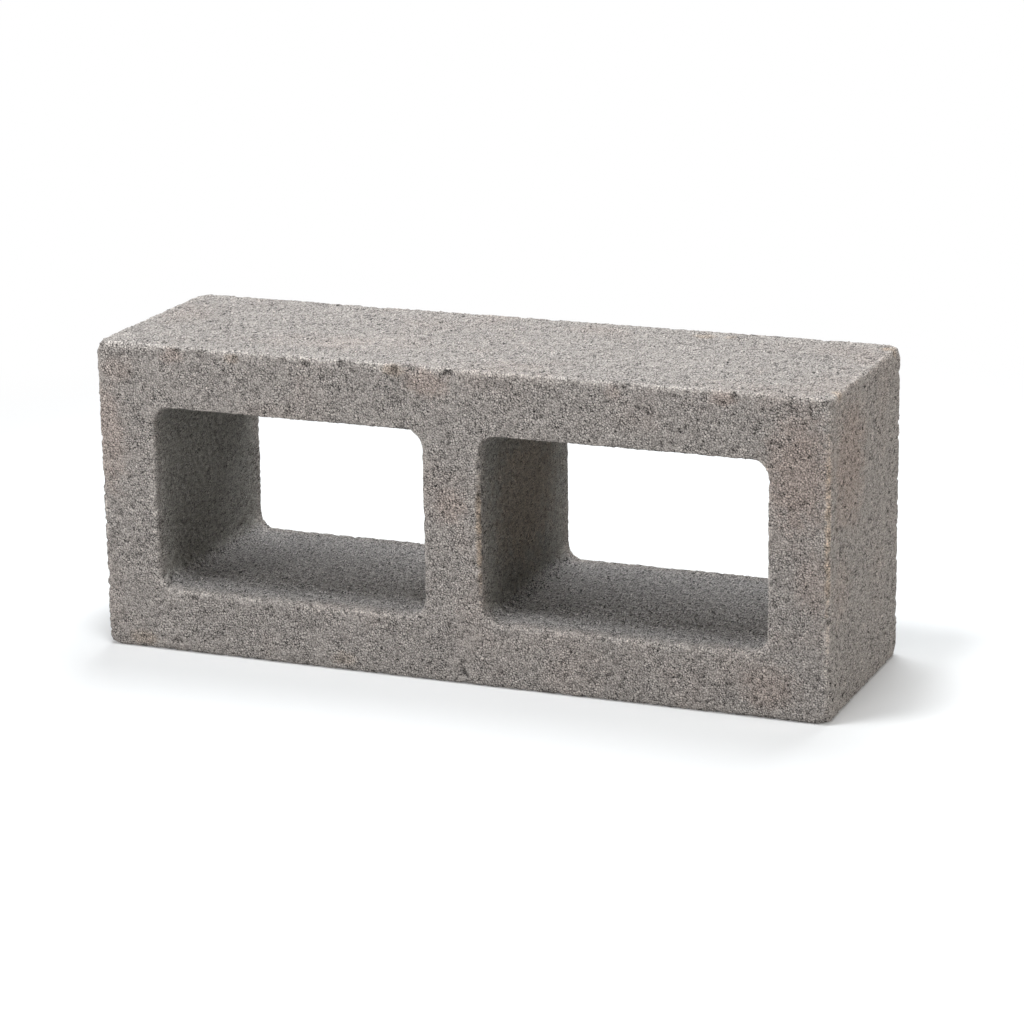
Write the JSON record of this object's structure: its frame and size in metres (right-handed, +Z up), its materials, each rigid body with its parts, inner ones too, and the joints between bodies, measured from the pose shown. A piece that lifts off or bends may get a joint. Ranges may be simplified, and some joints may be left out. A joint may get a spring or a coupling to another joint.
{
  "type": "hollow concrete block",
  "caption": "Hollow concrete building block with cores running through it between plain face shells, lying on one face shell.",
  "frame": {"origin": "centre of the footprint, on the ground that the block lies on", "axes": "+Z up, across the two face shells; X along the block's length; Y through the cores, with the wider core mouths at -Y"},
  "size_m": [0.39, 0.12, 0.162],
  "materials": {
    "concrete": "matte"
  },
  "bodies": {
    "root": {"block": "concrete"}
  },
  "joints": []
}
